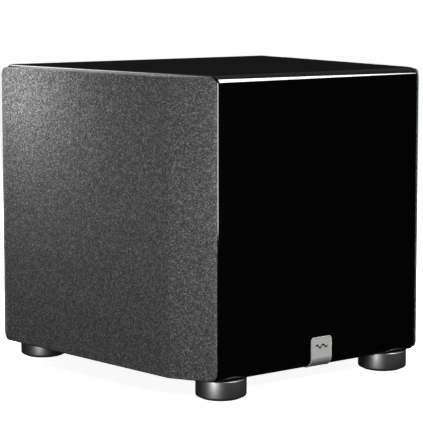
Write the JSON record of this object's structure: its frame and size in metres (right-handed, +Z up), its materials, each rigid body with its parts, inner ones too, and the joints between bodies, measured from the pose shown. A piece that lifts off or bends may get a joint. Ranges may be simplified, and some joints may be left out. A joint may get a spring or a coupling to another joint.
{
  "type": "powered subwoofer",
  "caption": "Compact powered subwoofer: gloss black cabinet flaring to the rear, a driver behind a bulging cloth grille on each side, round feet, amplifier panel at the back.",
  "frame": {"origin": "on the floor, in the middle of the box round the whole object", "axes": "+Z up, the front panel faces -Y, +X to the right seen from the front"},
  "size_m": [0.4656, 0.4102, 0.384],
  "materials": {
    "piano_lacquer": "medium density fibreboard under polished black lacquer",
    "mdf": "plain fibreboard",
    "wadding": "lofted polyester",
    "badge_metal": "fine satin",
    "foot_metal": "dark satin anodised",
    "foot_rubber": "matt",
    "zinc_steel": "zinc plated",
    "cast_basket": "black powder coat",
    "black_steel": "black passivated",
    "ferrite": "ground ceramic",
    "copper": "enamelled wire",
    "cone_pulp": "coated pressed pulp",
    "surround_rubber": "moulded, satin",
    "spider_cloth": "resin treated weave",
    "grille_cloth": "charcoal knitted grille cloth",
    "grille_plastic": "moulded",
    "black_screws": "black oxide",
    "cup_rubber": "moulded",
    "amp_panel": "black anodised, bead blasted",
    "heatsink_black": "black anodised extrusion",
    "circuit_board": "solder resist",
    "transformer_wrap": "wound, film taped",
    "capacitor_sleeve": "shrink sleeve",
    "knob_plastic": "moulded",
    "jack_gold": "gold plated",
    "light_lens": "tinted"
  },
  "bodies": {
    "root": {"amp_board": "circuit_board", "amp_plate": "amp_panel", "amp_screws": "black_screws", "badge": "badge_metal", "bottom_panel": "piano_lacquer", "capacitors": "capacitor_sleeve", "control_board": "circuit_board", "foot_bolts": "zinc_steel", "foot_front_left": "foot_metal", "foot_front_right": "foot_metal", "foot_inserts": "zinc_steel", "foot_pads": "foot_rubber", "foot_rear_left": "foot_metal", "foot_rear_right": "foot_metal", "front_panel": "piano_lacquer", "grille_cups": "cup_rubber", "heatsink": "heatsink_black", "left_baffle": "mdf", "left_basket": "cast_basket", "left_magnet": "ferrite", "left_pole_yoke": "black_steel", "left_spider": "spider_cloth", "left_surround": "surround_rubber", "left_top_plate": "black_steel", "line_jacks": "jack_gold", "mains_inlet": "knob_plastic", "rear_panel": "piano_lacquer", "right_baffle": "mdf", "right_basket": "cast_basket", "right_magnet": "ferrite", "right_pole_yoke": "black_steel", "right_spider": "spider_cloth", "right_surround": "surround_rubber", "right_top_plate": "black_steel", "status_light": "light_lens", "top_panel": "piano_lacquer", "transformer": "transformer_wrap", "wadding": "wadding", "window_brace": "mdf", "woofer_screws": "black_screws", "woofer_terminals": "zinc_steel"},
    "auto_slider": {"auto_slider": "knob_plastic"},
    "crossover_knob": {"crossover_knob": "knob_plastic"},
    "fuse_drawer": {"fuse_drawer": "knob_plastic"},
    "left_cone_assembly": {"left_cone": "cone_pulp", "left_dust_cap": "cone_pulp", "left_voice_coil": "copper"},
    "left_grille": {"left_grille_cloth": "grille_cloth", "left_grille_frame": "grille_plastic", "left_grille_pins": "grille_plastic"},
    "phase_slider": {"phase_slider": "knob_plastic"},
    "power_rocker": {"power_rocker": "knob_plastic"},
    "right_cone_assembly": {"right_cone": "cone_pulp", "right_dust_cap": "cone_pulp", "right_voice_coil": "copper"},
    "right_grille": {"right_grille_cloth": "grille_cloth", "right_grille_frame": "grille_plastic", "right_grille_pins": "grille_plastic"},
    "volume_knob": {"volume_knob": "knob_plastic"}
  },
  "joints": [
    {"name": "left_cone_travel", "type": "slide", "parent": "root", "child": "left_cone_assembly", "axis": [-0.9903, -0.1392, 0], "range_m": [-0.008, 0.008], "stiffness_N_per_m": 2000, "deforming": ["left_surround", "left_spider"]},
    {"name": "left_grille_pull", "type": "slide", "parent": "root", "child": "left_grille", "axis": [-0.9903, -0.1392, 0], "range_m": [0, 0.06]},
    {"name": "right_cone_travel", "type": "slide", "parent": "root", "child": "right_cone_assembly", "axis": [0.9903, -0.1392, 0], "range_m": [-0.008, 0.008], "stiffness_N_per_m": 2000, "deforming": ["right_surround", "right_spider"]},
    {"name": "right_grille_pull", "type": "slide", "parent": "root", "child": "right_grille", "axis": [0.9903, -0.1392, 0], "range_m": [0, 0.06]},
    {"name": "volume_turn", "type": "hinge", "parent": "root", "child": "volume_knob", "pos_m": [0.072, 0.1911, 0.212], "axis": [0, 1, 0], "range_deg": [-150, 150]},
    {"name": "crossover_turn", "type": "hinge", "parent": "root", "child": "crossover_knob", "pos_m": [0.03, 0.1911, 0.212], "axis": [0, 1, 0], "range_deg": [-150, 150]},
    {"name": "phase_slide", "type": "slide", "parent": "root", "child": "phase_slider", "axis": [1, 0, 0], "range_m": [0, 0.004]},
    {"name": "auto_slide", "type": "slide", "parent": "root", "child": "auto_slider", "axis": [1, 0, 0], "range_m": [0, 0.004]},
    {"name": "power_tip", "type": "hinge", "parent": "root", "child": "power_rocker", "pos_m": [-0.0585, 0.1886, 0.118], "axis": [1, 0, 0], "range_deg": [-18, 0]},
    {"name": "fuse_pull", "type": "slide", "parent": "root", "child": "fuse_drawer", "axis": [0, 1, 0], "range_m": [0, 0.018]}
  ],
  "couplings": [
    {"joint": "right_cone_travel", "follows": "left_cone_travel", "ratio": 1}
  ]
}
